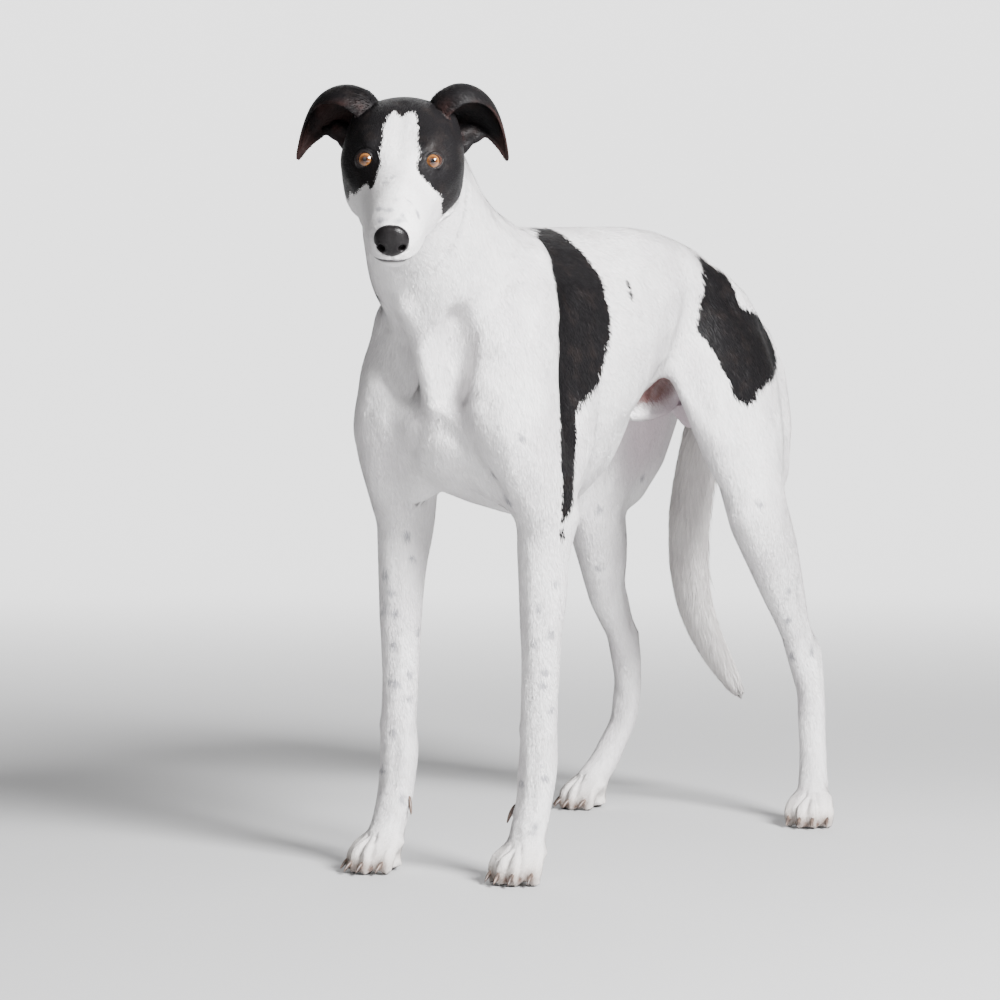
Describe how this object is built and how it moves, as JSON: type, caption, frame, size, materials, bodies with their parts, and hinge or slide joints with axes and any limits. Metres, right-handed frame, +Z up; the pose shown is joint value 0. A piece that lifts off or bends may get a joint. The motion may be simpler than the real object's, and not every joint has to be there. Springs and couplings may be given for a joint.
{
  "type": "standing sighthound dog",
  "caption": "Life-size short-coated sighthound standing square with its head turned to its left, folded ears, tucked belly and a long hanging tail.",
  "frame": {"origin": "on the floor under the middle of the dog's bounding box", "axes": "+Z up; the dog stands facing -Y with its head turned towards +X, its own left side is +X, and its tail is at +Y"},
  "size_m": [0.3782, 1.0276, 0.8421],
  "materials": {
    "coat": "short dense hair, white with black patches",
    "ear_leather": "very short fine black hair over thin leather",
    "nose_leather": "moist and finely pebbled",
    "claw_horn": "satin horn",
    "eye": "wet and clear"
  },
  "bodies": {
    "root": {"trunk": "coat", "neck": "coat", "head": "coat", "lower_jaw": "coat", "ear_left": "ear_leather", "ear_right": "ear_leather", "eye_left": "eye", "eye_right": "eye", "nose": "nose_leather", "foreleg_left": "coat", "foreleg_right": "coat", "hindleg_left": "coat", "hindleg_right": "coat", "forepaw_left": "coat", "forepaw_right": "coat", "hindpaw_left": "coat", "hindpaw_right": "coat", "tail": "coat", "dewclaw_left": "claw_horn", "dewclaw_right": "claw_horn", "claw_forepaw_left_1": "claw_horn", "claw_forepaw_left_2": "claw_horn", "claw_forepaw_left_3": "claw_horn", "claw_forepaw_left_4": "claw_horn", "claw_forepaw_right_1": "claw_horn", "claw_forepaw_right_2": "claw_horn", "claw_forepaw_right_3": "claw_horn", "claw_forepaw_right_4": "claw_horn", "claw_hindpaw_left_1": "claw_horn", "claw_hindpaw_left_2": "claw_horn", "claw_hindpaw_left_3": "claw_horn", "claw_hindpaw_left_4": "claw_horn", "claw_hindpaw_right_1": "claw_horn", "claw_hindpaw_right_2": "claw_horn", "claw_hindpaw_right_3": "claw_horn", "claw_hindpaw_right_4": "claw_horn"}
  },
  "joints": []
}
